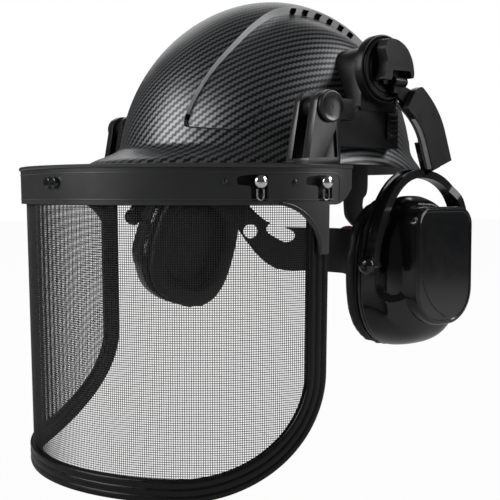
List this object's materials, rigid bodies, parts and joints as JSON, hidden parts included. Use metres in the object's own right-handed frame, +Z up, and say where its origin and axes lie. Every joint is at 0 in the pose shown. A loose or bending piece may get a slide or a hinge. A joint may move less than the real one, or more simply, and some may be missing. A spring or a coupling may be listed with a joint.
{
  "type": "forestry helmet",
  "caption": "Forestry hard hat with a flip-up mesh visor on a brow band, slot-mounted ear muffs on turning arms and a ratchet harness.",
  "frame": {"origin": "centre of the head opening, in the plane of the shell rim", "axes": "+X to the wearer's left, -Y the way the wearer faces, +Z up"},
  "size_m": [0.296, 0.3376, 0.35],
  "materials": {
    "shell": "satin gloss, carbon-look twill print",
    "harness_plastic": "fine moulded grain",
    "sweatband_foam": "brushed cloth on foam",
    "knob_accent": "orange-red moulded ring",
    "webbing": "woven webbing",
    "satin_plastic": "satin moulded nylon",
    "screen_mesh": "black woven nylon monofilament",
    "trim_rubber": "ribbed satin edge trim",
    "gloss_plastic": "polished black",
    "spring_steel": "satin spring steel",
    "acoustic_foam": "open-cell foam",
    "cushion_skin": "soft black vinyl skin",
    "cushion_plate": "matt black",
    "chrome": "polished",
    "clip_steel": "dulled steel"
  },
  "bodies": {
    "helmet": {"shell": "shell", "headband": "harness_plastic", "sweatband": "sweatband_foam", "crown_strap_lower": "webbing", "crown_strap_upper": "webbing", "rear_left_key": "harness_plastic", "rear_right_key": "harness_plastic", "front_right_key": "harness_plastic", "front_left_key": "harness_plastic", "left_slot_adapter": "satin_plastic", "right_slot_adapter": "satin_plastic", "left_release_tab": "satin_plastic", "right_release_tab": "satin_plastic"},
    "visor": {"brow_band": "satin_plastic", "mesh_screen": "screen_mesh", "visor_trim": "trim_rubber", "centre_plug": "gloss_plastic", "left_visor_arm": "satin_plastic", "right_visor_arm": "satin_plastic", "left_pivot_bolt": "satin_plastic", "right_pivot_bolt": "satin_plastic", "left_front_band_stud": "chrome", "right_front_band_stud": "chrome", "left_side_band_stud": "chrome", "right_side_band_stud": "chrome", "left_front_band_clip": "clip_steel", "right_front_band_clip": "clip_steel", "left_side_band_clip": "clip_steel", "right_side_band_clip": "clip_steel"},
    "nape": {"nape_strap": "harness_plastic", "ratchet_housing": "harness_plastic"},
    "knob": {"ratchet_knob": "harness_plastic", "knob_ring": "knob_accent", "ratchet_pinion": "harness_plastic"},
    "left_hub": {"left_hub_disc": "satin_plastic", "left_hub_block": "satin_plastic"},
    "left_arm": {"left_arm_spring": "spring_steel", "left_arm_cover": "satin_plastic"},
    "left_yoke": {"left_yoke": "gloss_plastic", "left_front_stud": "gloss_plastic", "left_rear_stud": "gloss_plastic"},
    "left_cup": {"left_cup": "gloss_plastic", "left_cup_panel": "gloss_plastic", "left_cup_foam": "acoustic_foam", "left_cushion_plate": "cushion_plate", "left_cushion": "cushion_skin"},
    "right_hub": {"right_hub_disc": "satin_plastic", "right_hub_block": "satin_plastic"},
    "right_arm": {"right_arm_spring": "spring_steel", "right_arm_cover": "satin_plastic"},
    "right_yoke": {"right_yoke": "gloss_plastic", "right_front_stud": "gloss_plastic", "right_rear_stud": "gloss_plastic"},
    "right_cup": {"right_cup": "gloss_plastic", "right_cup_panel": "gloss_plastic", "right_cup_foam": "acoustic_foam", "right_cushion_plate": "cushion_plate", "right_cushion": "cushion_skin"}
  },
  "joints": [
    {"name": "visor_flip", "type": "hinge", "parent": "helmet", "child": "visor", "pos_m": [0, -0.059, 0.038], "axis": [-1, 0, 0], "range_deg": [0, 85]},
    {"name": "nape_slide", "type": "slide", "parent": "helmet", "child": "nape", "axis": [0, -1, 0], "range_m": [0, 0.008]},
    {"name": "knob_turn", "type": "hinge", "parent": "nape", "child": "knob", "pos_m": [0, 0.095, -0.068], "axis": [0, 1, 0], "range_deg": [0, 60.32]},
    {"name": "left_hub_turn", "type": "hinge", "parent": "helmet", "child": "left_hub", "pos_m": [0.115, 0.006, 0.069], "axis": [1, 0, 0], "range_deg": [-14, 7]},
    {"name": "right_hub_turn", "type": "hinge", "parent": "helmet", "child": "right_hub", "pos_m": [-0.115, 0.006, 0.069], "axis": [1, 0, 0], "range_deg": [0, 26]},
    {"name": "left_arm_swing", "type": "hinge", "parent": "left_hub", "child": "left_arm", "pos_m": [0.1276, 0.015, 0.06], "axis": [0, -1, 0], "range_deg": [0, 30]},
    {"name": "right_arm_swing", "type": "hinge", "parent": "right_hub", "child": "right_arm", "pos_m": [-0.1276, 0.01158, 0.05756], "axis": [0, 0.9455, -0.3256], "range_deg": [0, 30]},
    {"name": "left_yoke_slide", "type": "slide", "parent": "left_arm", "child": "left_yoke", "axis": [0, -0.3502, 0.9367], "range_m": [0, 0.018]},
    {"name": "right_yoke_slide", "type": "slide", "parent": "right_arm", "child": "right_yoke", "axis": [0, -0.0262, 0.9997], "range_m": [-0.018, 0]},
    {"name": "left_cup_tilt", "type": "hinge", "parent": "left_yoke", "child": "left_cup", "pos_m": [0.1218, 0.0425, -0.069], "axis": [0, 1, 0], "range_deg": [-10, 10]},
    {"name": "right_cup_tilt", "type": "hinge", "parent": "right_yoke", "child": "right_cup", "pos_m": [-0.1218, -0.00489, -0.05537], "axis": [0, 0.9455, -0.3256], "range_deg": [-10, 10]}
  ],
  "couplings": [
    {"joint": "knob_turn", "follows": "nape_slide", "rad_per_m": 131.6}
  ]
}
